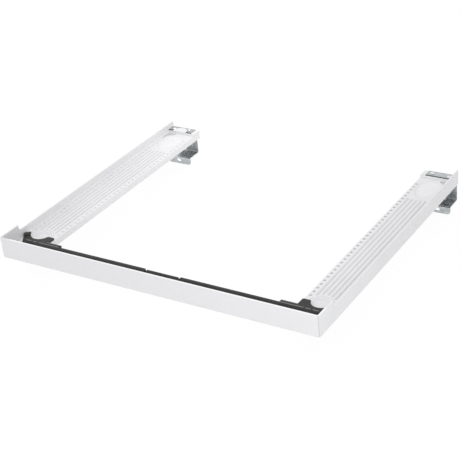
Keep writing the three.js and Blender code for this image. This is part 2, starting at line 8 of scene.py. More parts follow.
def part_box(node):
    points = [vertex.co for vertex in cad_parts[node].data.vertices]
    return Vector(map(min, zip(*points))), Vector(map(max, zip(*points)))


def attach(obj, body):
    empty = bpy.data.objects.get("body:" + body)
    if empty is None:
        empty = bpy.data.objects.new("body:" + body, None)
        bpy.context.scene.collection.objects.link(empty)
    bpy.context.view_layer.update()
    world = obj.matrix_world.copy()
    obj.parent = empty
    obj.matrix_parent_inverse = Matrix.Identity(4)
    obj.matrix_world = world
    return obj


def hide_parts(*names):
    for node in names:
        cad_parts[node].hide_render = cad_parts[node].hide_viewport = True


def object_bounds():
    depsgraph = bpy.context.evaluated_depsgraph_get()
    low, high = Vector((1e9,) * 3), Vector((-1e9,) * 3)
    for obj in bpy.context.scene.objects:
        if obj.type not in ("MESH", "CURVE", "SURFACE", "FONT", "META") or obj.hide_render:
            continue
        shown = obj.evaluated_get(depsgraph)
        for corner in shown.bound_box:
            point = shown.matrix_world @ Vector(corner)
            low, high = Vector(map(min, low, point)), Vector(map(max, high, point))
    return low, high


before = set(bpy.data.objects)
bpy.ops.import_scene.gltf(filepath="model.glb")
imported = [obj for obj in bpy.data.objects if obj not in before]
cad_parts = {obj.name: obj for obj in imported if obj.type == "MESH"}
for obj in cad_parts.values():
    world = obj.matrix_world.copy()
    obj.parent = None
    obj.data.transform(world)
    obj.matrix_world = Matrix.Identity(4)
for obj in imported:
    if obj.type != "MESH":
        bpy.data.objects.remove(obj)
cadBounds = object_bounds()
scene = bpy.context.scene
mm = 0.001
sides = ("left", "right")
print("frame loaded:", len(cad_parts), "nodes")

# camera, at the photograph's angle
cameraView = {
    "place": (1.03861, -1.32409, 1.01532),
    "azimuth": 33.892,  # degrees from +Y towards -X
    "tilt": 28.843,  # degrees down
    "roll": -5.662,
    "lens": 97.878,
    "sensor": 36.0,
    "farClip": 20.0,
}


def makeCamera(view):
    azimuth = math.radians(view["azimuth"])
    tilt = math.radians(view["tilt"])
    roll = math.radians(view["roll"])
    forward = Vector((
        -math.sin(azimuth) * math.cos(tilt),
        math.cos(azimuth) * math.cos(tilt),
        -math.sin(tilt),
    ))
    level = Vector((math.cos(azimuth), math.sin(azimuth), 0))
    above = level.cross(forward)
    right = level * math.cos(roll) + above * math.sin(roll)
    up = above * math.cos(roll) - level * math.sin(roll)
    data = bpy.data.cameras.new("photoCamera")
    data.lens = view["lens"]
    data.sensor_width = view["sensor"]
    data.clip_end = view["farClip"]
    camera = bpy.data.objects.new("photoCamera", data)
    scene.collection.objects.link(camera)
    turn = Matrix((right, up, -forward)).transposed()
    camera.matrix_world = Matrix.Translation(view["place"]) @ turn.to_4x4()
    scene.camera = camera


makeCamera(cameraView)
print("camera set")

# materials: first the steps they share, then each finish with its look
noiseSpan = (0.25, 0.75)  # where a noise's values mostly lie
driftSpan = (0.3, 0.7)  # the part of them over which a drifting colour changes


def clearTree(owner, outputKind):
    owner.use_nodes = True
    tree = owner.node_tree
    tree.nodes.clear()
    return tree, tree.nodes.new(outputKind)


def newMaterial(name):
    material = bpy.data.materials.new(name)
    tree, output = clearTree(material, "ShaderNodeOutputMaterial")
    shader = tree.nodes.new("ShaderNodeBsdfPrincipled")
    tree.links.new(shader.outputs["BSDF"], output.inputs["Surface"])
    return material, tree, shader


def addNoise(tree, scale, detail=3.0, roughness=0.55, stretch=(1, 1, 1)):
    place = tree.nodes.new("ShaderNodeTexCoord")
    mapping = tree.nodes.new("ShaderNodeMapping")
    mapping.inputs["Scale"].default_value = stretch
    noise = tree.nodes.new("ShaderNodeTexNoise")
    noise.inputs["Scale"].default_value = scale
    noise.inputs["Detail"].default_value = detail
    noise.inputs["Roughness"].default_value = roughness
    tree.links.new(place.outputs["Object"], mapping.inputs["Vector"])
    tree.links.new(mapping.outputs["Vector"], noise.inputs["Vector"])
    return noise.outputs["Fac"]


# a colour that goes from low to high over a span of the factor
def addRamp(tree, factor, span, low, high):
    ramp = tree.nodes.new("ShaderNodeValToRGB")
    for element, position, colour in zip(ramp.color_ramp.elements, span, (low, high)):
        element.position = position
        element.color = (*colour, 1)
    tree.links.new(factor, ramp.inputs["Fac"])
    return ramp.outputs["Color"]


def addRange(tree, factor, low, high):
    spread = tree.nodes.new("ShaderNodeMapRange")
    spread.inputs["From Min"].default_value = noiseSpan[0]
    spread.inputs["From Max"].default_value = noiseSpan[1]
    spread.inputs["To Min"].default_value = low
    spread.inputs["To Max"].default_value = high
    tree.links.new(factor, spread.inputs["Value"])
    return spread.outputs["Result"]


def addBump(tree, height, distance, strength, under=None):
    bump = tree.nodes.new("ShaderNodeBump")
    bump.inputs["Distance"].default_value = distance
    bump.inputs["Strength"].default_value = strength
    tree.links.new(height, bump.inputs["Height"])
    if under is not None:
        tree.links.new(under, bump.inputs["Normal"])
    return bump.outputs["Normal"]


def addMix(tree, factor, first, second):
    mix = tree.nodes.new("ShaderNodeMix")
    mix.data_type = "RGBA"
    tree.links.new(factor, mix.inputs["Factor"])
    tree.links.new(first, mix.inputs["A"])
    mix.inputs["B"].default_value = (*second, 1)
    return mix.outputs["Result"]


# the second value is a node's output or a number
def addMath(tree, operation, first, second):
    node = tree.nodes.new("ShaderNodeMath")
    node.operation = operation
    tree.links.new(first, node.inputs[0])
    if isinstance(second, (int, float)):
        node.inputs[1].default_value = second
    else:
        tree.links.new(second, node.inputs[1])
    return node.outputs[0]


# lightens or darkens a colour by the share of painted light and shade kept on the mesh
def addPaintedShading(tree, colour):
    paintedShading = tree.nodes.new("ShaderNodeAttribute")
    paintedShading.attribute_name = "paintedShading"
    scaled = tree.nodes.new("ShaderNodeVectorMath")
    scaled.operation = "SCALE"
    tree.links.new(colour, scaled.inputs[0])
    tree.links.new(addMath(tree, "ADD", paintedShading.outputs["Fac"], 1), scaled.inputs["Scale"])
    return scaled.outputs["Vector"]


# goes from 0 to a full share between two values of a coordinate
def addStep(tree, axis, start, end, full=1.0):
    place = tree.nodes.new("ShaderNodeTexCoord")
    split = tree.nodes.new("ShaderNodeSeparateXYZ")
    step = tree.nodes.new("ShaderNodeMapRange")
    step.inputs["From Min"].default_value = start
    step.inputs["From Max"].default_value = end
    step.inputs["To Max"].default_value = full
    tree.links.new(place.outputs["Object"], split.inputs["Vector"])
    tree.links.new(split.outputs[axis], step.inputs["Value"])
    return step.outputs["Result"]


# painted shading over the part where every one of its bands covers the surface
def addPaintedPatch(tree, colour, paintedPatch):
    mask = addStep(tree, *paintedPatch["bands"][0], paintedPatch["share"])
    for band in paintedPatch["bands"][1:]:
        mask = addMath(tree, "MULTIPLY", mask, addStep(tree, *band))
    return addMix(tree, mask, colour, paintedPatch["colour"])


# a moulded plastic: a broad drift of colour, rubbed patches, painted shading and a fine eroded
# texture
def makePlastic(name, look):
    material, tree, shader = newMaterial(name)
    drift = addNoise(tree, look["driftScale"], detail=2)
    colour = addRamp(tree, drift, driftSpan, look["low"], look["high"])
    rub = addNoise(tree, look["rubScale"], detail=5, roughness=0.65, stretch=look["rubStretch"])
    rubbed = addRange(tree, rub, 0, look["rubAmount"])
    colour = addPaintedShading(tree, addMix(tree, rubbed, colour, look["rubColour"]))
    for paintedPatch in look["paintedPatches"]:
        colour = addPaintedPatch(tree, colour, paintedPatch)
    tree.links.new(colour, shader.inputs["Base Color"])
    patchy = addNoise(tree, look["patchScale"], detail=4)
    tree.links.new(addRange(tree, patchy, *look["roughness"]), shader.inputs["Roughness"])
    grain = addNoise(tree, look["grainScale"], detail=2, roughness=0.6)
    normal = addBump(tree, grain, look["grainDepth"], look["grainStrength"])
    tree.links.new(normal, shader.inputs["Normal"])
    shader.inputs["Specular IOR Level"].default_value = look["specular"]
    return material


whitePanelLook = {
    "low": (0.76, 0.76, 0.775),
    "high": (0.785, 0.785, 0.8),
    "paintedPatches": [  # the top edge beside the foot retainer, with a painted highlight
        {
            "bands": [("Z", 0.0366, 0.0369), ("X", -0.279, -0.276), ("Y", 0.009, 0.003)],
            "share": 1.0,
            "colour": (0.93, 0.93, 0.935),
        },
    ],
    "driftScale": 5,
    "rubScale": 60,
    "rubStretch": (1, 1, 1),
    "rubAmount": 0.12,
    "rubColour": (0.73, 0.73, 0.745),
    "patchScale": 24,
    "roughness": (0.34, 0.44),
    "grainScale": 1400,
    "grainDepth": 0.00004,
    "grainStrength": 0.25,
    "specular": 0.45,
}
whiteRailLook = dict(
    whitePanelLook,
    paintedPatches=[],
    low=(0.785, 0.785, 0.8),
    high=(0.815, 0.815, 0.83),
    driftScale=9,
    rubStretch=(1, 0.3, 1),
    rubAmount=0.1,
    roughness=(0.42, 0.55),
    grainDepth=0.00006,
)
blackPlasticLook = {
    "low": (0.025, 0.0255, 0.0245),
    "high": (0.034, 0.0345, 0.033),
    "paintedPatches": [  # painted shade on the strip's front, where the panel shades it
        {"bands": [("Y", 0.0188, 0.0168)], "share": 1.0, "colour": (0.008, 0.008, 0.0075)},
    ],
    "driftScale": 14,
    "rubScale": 90,
    "rubStretch": (1, 1, 1),
    "rubAmount": 0.22,
    "rubColour": (0.055, 0.056, 0.053),
    "patchScale": 40,
    "roughness": (0.45, 0.62),
    "grainScale": 1100,
    "grainDepth": 0.00008,
    "grainStrength": 0.5,
    "specular": 0.25,
}


# hot-dip galvanising: each crystal has its own brightness and gloss
def makeGalvanised(name, look):
    material, tree, shader = newMaterial(name)
    place = tree.nodes.new("ShaderNodeTexCoord")
    wobble = tree.nodes.new("ShaderNodeTexNoise")
    wobble.inputs["Scale"].default_value = look["crystalScale"] * look["wobbleRatio"]
    push = tree.nodes.new("ShaderNodeMixRGB")
    push.blend_type = "LINEAR_LIGHT"
    push.inputs["Fac"].default_value = look["crystalWobble"]
    cells = tree.nodes.new("ShaderNodeTexVoronoi")
    cells.inputs["Scale"].default_value = look["crystalScale"]
    split = tree.nodes.new("ShaderNodeSeparateColor")
    tree.links.new(place.outputs["Object"], wobble.inputs["Vector"])
    tree.links.new(place.outputs["Object"], push.inputs["Color1"])
    tree.links.new(wobble.outputs["Color"], push.inputs["Color2"])
    tree.links.new(push.outputs["Color"], cells.inputs["Vector"])
    tree.links.new(cells.outputs["Color"], split.inputs["Color"])
    colour = addRamp(tree, split.outputs["Red"], (0, 1), look["low"], look["high"])
    haze = addNoise(tree, look["hazeScale"], detail=4)
    colour = addMix(tree, addRange(tree, haze, 0, look["hazeAmount"]), colour, look["hazeColour"])
    for paintedPatch in look["paintedPatches"]:
        colour = addPaintedPatch(tree, colour, paintedPatch)
    drain = addNoise(
        tree, look["drainScale"], detail=2, roughness=0.5, stretch=look["drainStretch"],
    )
    drained = addRange(tree, drain, 0, look["drainAmount"])
    colour = addMix(tree, drained, colour, look["drainColour"])
    tree.links.new(colour, shader.inputs["Base Color"])
    gloss = addRange(tree, split.outputs["Green"], *look["roughness"])
    tree.links.new(gloss, shader.inputs["Roughness"])
    seams = addBump(tree, cells.outputs["Distance"], look["seamDepth"], look["seamStrength"])
    grain = addNoise(tree, look["grainScale"])
    normal = addBump(tree, grain, look["grainDepth"], look["grainStrength"], seams)
    tree.links.new(normal, shader.inputs["Normal"])
    shader.inputs["Metallic"].default_value = look["metallic"]
    return material


galvanisedLook = {
    "low": (0.315, 0.343, 0.35),
    "high": (0.535, 0.57, 0.58),
    "crystalScale": 340,
    "crystalWobble": 0.002,
    "wobbleRatio": 1.4,
    "hazeScale": 70,
    "hazeAmount": 0.35,
    "hazeColour": (0.6, 0.63, 0.64),
    "drainScale": 200,
    "drainStretch": (1, 1, 0.04),
    "drainAmount": 0.4,
    "drainColour": (0.6, 0.62, 0.63),
    "paintedPatches": [
        {  # painted shade on the top plate's front edge
            "bands": [("Y", 0.4862, 0.4852), ("Z", 0.009, 0.0105)],
            "share": 1.0,
            "colour": (0.13, 0.13, 0.135),
        },
        {  # painted shade on its bend
            "bands": [("Y", 0.4985, 0.5), ("Z", 0.0146, 0.0152)],
            "share": 1.0,
            "colour": (0.13, 0.13, 0.135),
        },
        {  # painted shade on the rear plate's front, between the beads
            "bands": [("Y", 0.5004, 0.501), ("Y", 0.5026, 0.5016), ("Z", 0.01, 0.008)],
            "share": 0.42,
            "colour": (0.16, 0.17, 0.173),
        },
        {  # painted light on the hook's floor
            "bands": [("Z", -0.0296, -0.0314), ("Z", -0.0362, -0.0346)],
            "share": 0.4,
            "colour": (0.85, 0.87, 0.88),
        },
    ],
    "roughness": (0.24, 0.46),
    "seamDepth": 0.0002,
    "seamStrength": 0.35,
    "grainScale": 1500,
    "grainDepth": 0.00004,
    "grainStrength": 0.3,
    "metallic": 1.0,
}


# bright zinc on the screws, marked by the driver
def makeZinc(name, look):
    material, tree, shader = newMaterial(name)
    shade = addNoise(tree, look["shadeScale"])
    colour = addRamp(tree, shade, driftSpan, look["low"], look["high"])
    tree.links.new(colour, shader.inputs["Base Color"])
    tree.links.new(addRange(tree, shade, *look["roughness"]), shader.inputs["Roughness"])
    marks = addNoise(tree, look["markScale"], detail=4)
    normal = addBump(tree, marks, look["markDepth"], look["markStrength"])
    tree.links.new(normal, shader.inputs["Normal"])
    shader.inputs["Metallic"].default_value = look["metallic"]
    return material


zincLook = {
    "low": (0.78, 0.79, 0.8),
    "high": (0.92, 0.93, 0.94),
    "shadeScale": 400,
    "roughness": (0.2, 0.36),
    "markScale": 2600,
    "markDepth": 0.00003,
    "markStrength": 0.3,
    "metallic": 1.0,
}


# closed-cell foam, with pores that show as dark specks
def makeFoam(name, look):
    material, tree, shader = newMaterial(name)
    place = tree.nodes.new("ShaderNodeTexCoord")
    pores = tree.nodes.new("ShaderNodeTexVoronoi")
    pores.inputs["Scale"].default_value = look["poreScale"]
    tree.links.new(place.outputs["Object"], pores.inputs["Vector"])
    depth = pores.outputs["Distance"]
    colour = addRamp(tree, depth, look["poreSpan"], look["pore"], look["foam"])
    dust = addNoise(tree, look["dustScale"], detail=4)
    colour = addMix(tree, addRange(tree, dust, 0, look["dustAmount"]), colour, look["dustColour"])
    tree.links.new(colour, shader.inputs["Base Color"])
    tree.links.new(addRange(tree, dust, *look["roughness"]), shader.inputs["Roughness"])
    normal = addBump(tree, depth, look["poreDepth"], look["poreStrength"])
    tree.links.new(normal, shader.inputs["Normal"])
    return material


foamLook = {
    "foam": (0.075, 0.078, 0.085),
    "pore": (0.03, 0.031, 0.034),
    "poreScale": 1300,
    "poreSpan": (0.1, 0.45),
    "poreDepth": 0.0002,
    "poreStrength": 0.6,
    "dustScale": 90,
    "dustAmount": 0.25,
    "dustColour": (0.15, 0.15, 0.155),
    "roughness": (0.8, 0.95),
}

whitePanel = makePlastic("whitePanel", whitePanelLook)
whiteRail = makePlastic("whiteRail", whiteRailLook)
blackPlastic = makePlastic("blackPlastic", blackPlasticLook)
galvanised = makeGalvanised("galvanisedSteel", galvanisedLook)
zinc = makeZinc("brightZinc", zincLook)
foam = makeFoam("padFoam", foamLook)
print("materials made")

# what the mesh code shares, in millimetres and degrees
meshing = {
    "weld": 0.001,  # corners nearer than this are merged
    "blockWeld": 0.0001,
    "loopWeld": 0.02,
    "slack": 0.1,  # allowed where places are compared
    "flatAngle": 0.4,  # faces that turn less are joined
    "creaseAngle": 30.0,  # edges that turn more are sharp
    "level": 0.99999,  # upward part of a level face's normal
    "arcSteps": 8,
    "blockSteps": 2,
    "rimSteps": 3,
}
crease = math.radians(meshing["creaseAngle"])
slack = meshing["slack"] * mm


def sharpenByAngle(mesh):
    for face in mesh.faces:
        face.smooth = True
    for edge in mesh.edges:
        if len(edge.link_faces) == 2:
            edge.smooth = edge.calc_face_angle(0) < crease


def addPiece(name, mesh, material, replaced):
    data = bpy.data.meshes.new(name)
    mesh.to_mesh(data)
    mesh.free()
    piece = bpy.data.objects.new(name, data)
    scene.collection.objects.link(piece)
    data.materials.append(material)
    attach(piece, "root")
    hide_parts(replaced)
    return piece


# side rails, drawn on the right in millimetres from the rail's inner side, front end and underside
railShape = {
    "skin": 1.8,
    "edgeRadius": 1.2,
    "overlap": 1.0,  # how far blocks reach into the skin and into each other
    "panelGap": 0.1,
    "noseInset": 3.3,
    "deckHeight": 12.0,
    "wallHeight": 26.5,
    "wallThickness": 2.5,
    "wallBottom": 0.2,
    "sweepRadius": 7.0,
    "sweepTurn": 70.0,
    "wallEdge": 0.5,
    "filletRadius": 1.5,
    "filletLead": 0.2,
    "footInset": 29.9,
    "footSetback": 63.2,
    "footSteps": 64,
    "footRings": [  # radius, depth and the share of painted light there, negative for painted shade
        (21.1, 0, 0), (20.8, 0.1, 0), (20.4, 0.65, -0.12), (19.9, 0.8, -0.12), (18.9, 0.81, 0.02),
        (17.5, 0.82, 0.02), (17.2, 0.92, 0), (16.8, 1.45, -0.12), (16.3, 1.6, -0.12),
        (15.3, 1.61, 0), (13.9, 1.62, 0), (13.6, 1.72, 0), (13.2, 2.25, -0.12),
        (12.7, 2.4, -0.12), (11.7, 2.41, -0.02),
    ],
    "dishMargin": 49.5,  # dish centre from the rail's back end
    "dishStretch": 2.05,  # the front half is this much longer than round
    "dishSteps": 72,
    # painted shade at the dish's rim and painted light in its middle
    "dishRings": [
        (21.7, 0, 0), (21.3, 0.12, -0.02), (20.6, 0.6, -0.05), (19.4, 1.3, -0.02),
        (17.6, 1.9, 0.03), (14.0, 2.3, 0.04), (7.0, 2.4, 0.04),
    ],
    "grooveCount": 5,
    "groovePitch": 8.0,
    "grooveLead": 2.0,
    "grooveTail": 6.0,
    "grooveSteps": 16,
    # painted shade down the grooves
    "grooveRings": [
        (2.4, 0, 0), (2.2, 0.1, -0.04), (1.9, 0.5, -0.1), (1.45, 1.1, -0.12), (0.9, 1.5, -0.12),
        (0.3, 1.7, -0.12),
    ],
    "dimpleLead": 14.5,
    "dimpleTail": 47.5,
    "dimplePitch": 11.5,
    "dimpleInner": 5.2,
    "dimpleOuter": 4.6,
    "dimpleSteps": 12,
    # painted shade in the dimples
    "dimpleRings": [
        (2.7, 0, 0), (2.6, 0.1, -0.14), (2.4, 0.5, -0.22), (2.05, 1.1, -0.24), (1.4, 1.6, -0.24),
        (0.6, 1.8, -0.24),
    ],
    "dimpleShade": {"left": 0.4, "right": 1.25},  # how strongly the painted shade in the dimples shows on each side
    "pocketWidth": 18.0,
    "pocketDepth": 1.8,
    "pocketMargin": 1.9,
    # painted shade on the pocket's floor
    "pocketShade": -0.2,
    "landLength": 21.0,
    "landHeight": 14.0,
    "lipHeight": 15.8,
    "lipWidth": 2.2,
    "shoulder": 8.2,
    "slitStart": 8.5,
    "slitMargin": 1.0,
    "slitWidth": 2.0,
    "slitDepth": 1.0,
    "landChamfer": 1.5,
    "landEdge": 0.4,
    "tongueRadius": 14.5,
    "tongueOffset": 3.5,
    "tongueLow": 16.4,
    "tongueHigh": 17.8,
    "tongueInset": 0.5,  # how much smaller the block inside it is
    "tongueSteps": 24,
    "flangeClearance": 2.2,
    "flangeEnd": 35.0,
    "ribThickness": 1.6,
    "ribBottom": 4.0,
    "ribPitch": 46.0,
    "ribOverlap": 0.05,
    "ribEdge": 0.3,
    "bossRadius": 3.6,
    "bossBottom": 2.4,
    "bossTaper": 0.94,
    "bossSteps": 24,
    "seatBottom": 1.4,
    "seatThickness": 2.0,
    "seatMargin": 1.5,
}


def newVerts(made):
    return [item for item in made["geom"] if isinstance(item, bmesh.types.BMVert)]


def newEdges(made):
    verts = set(newVerts(made))
    edges = [item for item in made["geom"] if isinstance(item, bmesh.types.BMEdge)]
    return [edge for edge in edges if edge.verts[0] in verts and edge.verts[1] in verts]


# the edges that end at a few vertices, each once
def edgesOf(verts):
    return list(dict.fromkeys(edge for vert in verts for edge in vert.link_edges))


def facesOf(verts):
    return list(dict.fromkeys(face for vert in verts for face in vert.link_faces))


# an open chain of edges through a few places; gives its vertices
def addChain(mesh, places):
    verts = [mesh.verts.new(place) for place in places]
    for pair in zip(verts, verts[1:]):
        mesh.edges.new(pair)
    return verts


# a closed loop through a few places; gives its edges
def addLoop(mesh, places):
    verts = [mesh.verts.new(place) for place in places]
    return [mesh.edges.new(pair) for pair in zip(verts, verts[1:] + verts[:1])]


# an arc drawn by a turning vertex; gives the arc's last one
def addArc(mesh, vert, centre, axis, turn, steps=meshing["arcSteps"]):
    made = bmesh.ops.spin(
        mesh, geom=[vert], cent=centre, axis=axis, angle=turn, steps=steps, use_merge=False,
    )
    return made["geom_last"][0]


# the wire edges just drawn, with their meeting ends merged
def mergedLoop(mesh, known=()):
    wire = [edge for edge in mesh.edges if not edge.link_faces and edge not in known]
    ends = list(dict.fromkeys(vert for edge in wire for vert in edge.verts))
    bmesh.ops.remove_doubles(mesh, verts=ends, dist=meshing["loopWeld"] * mm)
    return [edge for edge in mesh.edges if not edge.link_faces and edge not in known]


def setPaintedShading(mesh, verts, share):
    paintedShading = mesh.verts.layers.float["paintedShading"]
    for vert in verts:
        vert[paintedShading] = share


def sharpEdges(mesh):
    return [
        edge for edge in mesh.edges
        if len(edge.link_faces) == 2 and edge.calc_face_angle(0) > crease
    ]


def roundBetween(mesh, edges, radius, steps):
    bmesh.ops.bevel(
        mesh, geom=edges, offset=radius, affect="EDGES", segments=steps, profile=0.5, material=-1,
        clamp_overlap=True,
    )


# merges what meets and turns the faces outwards, after mirroring on the left
def closeShape(mesh, mirrored, weld):
    if mirrored:
        bmesh.ops.scale(mesh, vec=(-1, 1, 1), verts=mesh.verts)
    bmesh.ops.remove_doubles(mesh, verts=mesh.verts, dist=weld * mm)
    bmesh.ops.recalc_face_normals(mesh, faces=mesh.faces)


def joinInto(mesh, other):
    data = bpy.data.meshes.new("joined")
    other.to_mesh(data)
    other.free()
    mesh.from_mesh(data)
    bpy.data.meshes.remove(data)


# keeps a flat face's shading flat beside the gentle slope of a rounded rim
def sharpenRoundFlats(mesh):
    for edge in mesh.edges:
        flats = [abs(face.normal.z) > meshing["level"] for face in edge.link_faces]
        if len(flats) == 2 and flats[0] != flats[1]:
            edge.smooth = False


# rings of a round hollow, from its rim down; its front half may be stretched and its back half
# moved on by a length
def addHollow(mesh, place, rings, steps, stretch=1.0, length=0.0):
    turn = Matrix.Translation(place) @ Matrix.Rotation(math.pi / steps, 4, "Z")
    made = bmesh.ops.create_circle(mesh, segments=steps, radius=rings[0][0] * mm, matrix=turn)
    verts = list(made["verts"])
    rim = edgesOf(verts)
    edges = rim
    middle = Matrix.Translation(place).inverted()
    for (radius, depth, _), (nextRadius, nextDepth, paintedShading) in zip(rings, rings[1:]):
        made = bmesh.ops.extrude_edge_only(mesh, edges=edges)
        ring, edges = newVerts(made), newEdges(made)
        shrink = nextRadius / radius
        bmesh.ops.scale(mesh, vec=(shrink, shrink, 1), space=middle, verts=ring)
        bmesh.ops.translate(mesh, vec=(0, 0, (depth - nextDepth) * mm), verts=ring)
        # painted shading for each ring
        setPaintedShading(mesh, ring, paintedShading)
        verts += ring
    bmesh.ops.edgeloop_fill(mesh, edges=edges)
    frontHalf = [vert for vert in verts if vert.co.y < place[1]]
    backHalf = [vert for vert in verts if vert.co.y > place[1]]
    bmesh.ops.scale(mesh, vec=(1, stretch, 1), space=middle, verts=frontHalf)
    bmesh.ops.translate(mesh, vec=(0, length, 0), verts=backHalf)
    return rim


# a closed block between two corners, with its edges rounded
def addBlock(mesh, low, high, edge=0.0):
    verts = bmesh.ops.create_cube(mesh, size=1)["verts"]
    size = [b - a for a, b in zip(low, high)]
    middle = [(a + b) / 2 for a, b in zip(low, high)]
    bmesh.ops.scale(mesh, vec=size, verts=verts)
    bmesh.ops.translate(mesh, vec=middle, verts=verts)
    if edge:
        roundBetween(mesh, edgesOf(verts), edge * mm, meshing["blockSteps"])
    return verts


# a closed outline, filled and carried along a vector
def addExtruded(mesh, edges, vector, edge=0.0):
    face = bmesh.ops.contextual_create(mesh, geom=edges)["faces"][0]
    made = bmesh.ops.extrude_face_region(mesh, geom=[face], use_keep_orig=True)
    bmesh.ops.translate(mesh, vec=vector, verts=newVerts(made))
    verts = list(face.verts) + newVerts(made)
    bmesh.ops.recalc_face_normals(mesh, faces=facesOf(verts))
    if edge:
        own = set(edgesOf(verts))
        sharp = [link for link in sharpEdges(mesh) if link in own]
        roundBetween(mesh, sharp, edge * mm, meshing["blockSteps"])


railLow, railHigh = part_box("right_rail")
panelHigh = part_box("front_panel")[1]
railInner, railOuter = railLow.x, railHigh.x
railFront, railBack = railLow.y, railHigh.y
wallInside = railOuter - railShape["wallThickness"] * mm
wallMiddle = (wallInside + railOuter) / 2
wallFront = panelHigh.y + railShape["panelGap"] * mm
noseX = panelHigh.x - railShape["noseInset"] * mm
deckZ = railShape["deckHeight"] * mm
footX = railInner + railShape["footInset"] * mm
footY = railFront + railShape["footSetback"] * mm
dishY = railBack - railShape["dishMargin"] * mm
landFront = railBack - railShape["landLength"] * mm
overlap = railShape["overlap"] * mm


# the deck's edge and the skirts under it, open on the side of the outer wall
def addTrayRim(mesh):
    flangeTop = railShape["flangeClearance"] * mm
    flangeEnd = railFront + railShape["flangeEnd"] * mm
    places = [
        (railInner, railBack), (railInner, flangeEnd), (railInner, railFront), (noseX, railFront),
        (noseX, flangeEnd), (noseX, wallFront), (wallMiddle, wallFront), (wallMiddle, railBack),
    ]
    edges = addLoop(mesh, [(x, y, deckZ) for x, y in places])
    bmesh.ops.contextual_create(mesh, geom=edges)
    made = bmesh.ops.extrude_edge_only(mesh, edges=edges[:5] + edges[7:])  # not beside the wall
    bmesh.ops.translate(mesh, vec=(0, 0, flangeTop - deckZ), verts=newVerts(made))
    behind = [
        edge for edge in newEdges(made)
        if min(vert.co.y for vert in edge.verts) > flangeEnd - slack
    ]
    lower = bmesh.ops.extrude_edge_only(mesh, edges=behind)
    bottom = railShape["wallBottom"] * mm
    bmesh.ops.translate(mesh, vec=(0, 0, bottom - flangeTop), verts=newVerts(lower))
    roundBetween(mesh, sharpEdges(mesh), railShape["edgeRadius"] * mm, meshing["rimSteps"])
    top = max(mesh.faces, key=lambda face: face.calc_area())
    rim = list(top.edges)
    bmesh.ops.delete(mesh, geom=[top], context="FACES_ONLY")
    return rim


def dimpleRow():
    first = footY + railShape["dimpleLead"] * mm
    last = railBack - railShape["dimpleTail"] * mm
    count = round((last - first) / (railShape["dimplePitch"] * mm))
    return [first + (last - first) * i / count for i in range(count + 1)]


def addDeckHollows(mesh, side):
    shape = railShape
    rims = addHollow(mesh, (footX, footY, deckZ), shape["footRings"], shape["footSteps"])
    rims += addHollow(
        mesh, (footX, dishY, deckZ), shape["dishRings"], shape["dishSteps"], shape["dishStretch"],
    )
    footReach = (shape["footRings"][0][0] + shape["grooveLead"]) * mm
    dishReach = shape["dishRings"][0][0] * shape["dishStretch"]
    grooveEnd = dishY - (dishReach + shape["grooveTail"]) * mm
    halfWidth = shape["grooveRings"][0][0] * mm
    for i in range(shape["grooveCount"]):
        across = (i - (shape["grooveCount"] - 1) / 2) * shape["groovePitch"] * mm
        start = footY + math.sqrt(footReach ** 2 - across ** 2) + halfWidth
        place = (footX + across, start, deckZ)
        length = grooveEnd - halfWidth - start
        rims += addHollow(mesh, place, shape["grooveRings"], shape["grooveSteps"], length=length)
    shade = shape["dimpleShade"][side]
    dimple = [(radius, depth, paintedShading * shade) for radius, depth, paintedShading in shape["dimpleRings"]]
    for x in (railInner + shape["dimpleInner"] * mm, wallInside - shape["dimpleOuter"] * mm):
        for y in dimpleRow():
            rims += addHollow(mesh, (x, y, deckZ), dimple, shape["dimpleSteps"])
    return rims


# the sunk corner between the dish, the land and the outer wall, with painted shade on its floor
def addPocket(mesh):
    shape = railShape
    margin = shape["pocketMargin"] * mm
    radius = shape["dishRings"][0][0] * mm + margin
    end = wallInside - margin
    start = end - shape["pocketWidth"] * mm
    low = dimpleRow()[-1] + shape["dimpleRings"][0][0] * mm + margin
    high = landFront - margin
    entry = footX + math.sqrt(radius ** 2 - (low - dishY) ** 2)
    leave = dishY + math.sqrt(radius ** 2 - (start - footX) ** 2)
    corners = [(start, leave), (start, high), (end, high), (end, low), (entry, low)]
    known = set(mesh.edges)
    verts = addChain(mesh, [(x, y, deckZ) for x, y in corners])
    turn = math.atan2(leave - dishY, start - footX) - math.atan2(low - dishY, entry - footX)
    addArc(mesh, verts[-1], (footX, dishY, deckZ), (0, 0, 1), turn)
    loop = mergedLoop(mesh, known)
    made = bmesh.ops.extrude_edge_only(mesh, edges=loop)
    bmesh.ops.translate(mesh, vec=(0, 0, -shape["pocketDepth"] * mm), verts=newVerts(made))
    setPaintedShading(mesh, newVerts(made), shape["pocketShade"])
    bmesh.ops.edgeloop_fill(mesh, edges=newEdges(made))
    return loop


# the open slit behind the land's lip
def addSlit(mesh):
    low = landFront + railShape["lipWidth"] * mm
    high = low + railShape["slitWidth"] * mm
    left = railInner + railShape["slitStart"] * mm
    right = wallInside - railShape["slitMargin"] * mm
    places = [(left, low), (right, low), (right, high), (left, high)]
    edges = addLoop(mesh, [(x, y, deckZ) for x, y in places])
    made = bmesh.ops.extrude_edge_only(mesh, edges=edges)
    bmesh.ops.translate(mesh, vec=(0, 0, -railShape["slitDepth"] * mm), verts=newVerts(made))
    return edges


# one skin for the deck, its hollows and its skirts
def makeTray(side):
    mesh = bmesh.new()
    mesh.verts.layers.float.new("paintedShading")
    rim = addTrayRim(mesh)
    holes = addDeckHollows(mesh, side) + addPocket(mesh) + addSlit(mesh)
    bmesh.ops.triangle_fill(mesh, use_beauty=True, edges=rim + holes, normal=(0, 0, 1))
    closeShape(mesh, side == "left", meshing["weld"])
    bmesh.ops.solidify(mesh, geom=mesh.faces[:], thickness=railShape["skin"] * mm)
    return mesh


